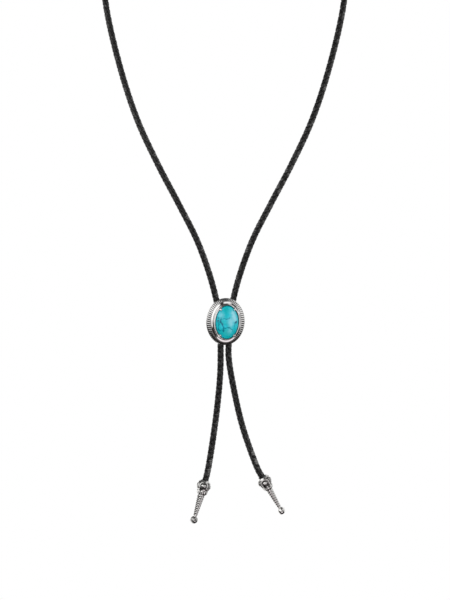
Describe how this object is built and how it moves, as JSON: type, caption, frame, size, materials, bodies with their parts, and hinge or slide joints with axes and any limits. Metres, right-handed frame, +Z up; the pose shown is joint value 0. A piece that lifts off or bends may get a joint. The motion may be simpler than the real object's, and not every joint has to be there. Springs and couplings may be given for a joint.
{
  "type": "bolo tie",
  "caption": "Braided leather neck cord drawn together by an oval silver slide with a domed turquoise stone, with two tapered silver tips.",
  "frame": {"origin": "the point on the nape of the neck where the cord hangs, on the inner side of the cord", "axes": "+Z up; the wearer faces -Y; +X to the right as seen from in front"},
  "size_m": [0.1807, 0.1627, 0.4347],
  "materials": {
    "black_leather": "four-strand round braid, dyed black, softly polished",
    "polished_silver": "polished silver, darkened between the ridges",
    "turquoise": "polished, blue-green patches with dark teal veins",
    "clasp_metal": "satin plated metal",
    "cast_silver": "cast silver, oxidised in the recesses"
  },
  "bodies": {
    "root": {"braided_cord": "black_leather", "concho": "polished_silver", "turquoise_stone": "turquoise", "back_clasp": "clasp_metal", "left_tip": "cast_silver", "right_tip": "cast_silver"}
  },
  "joints": []
}
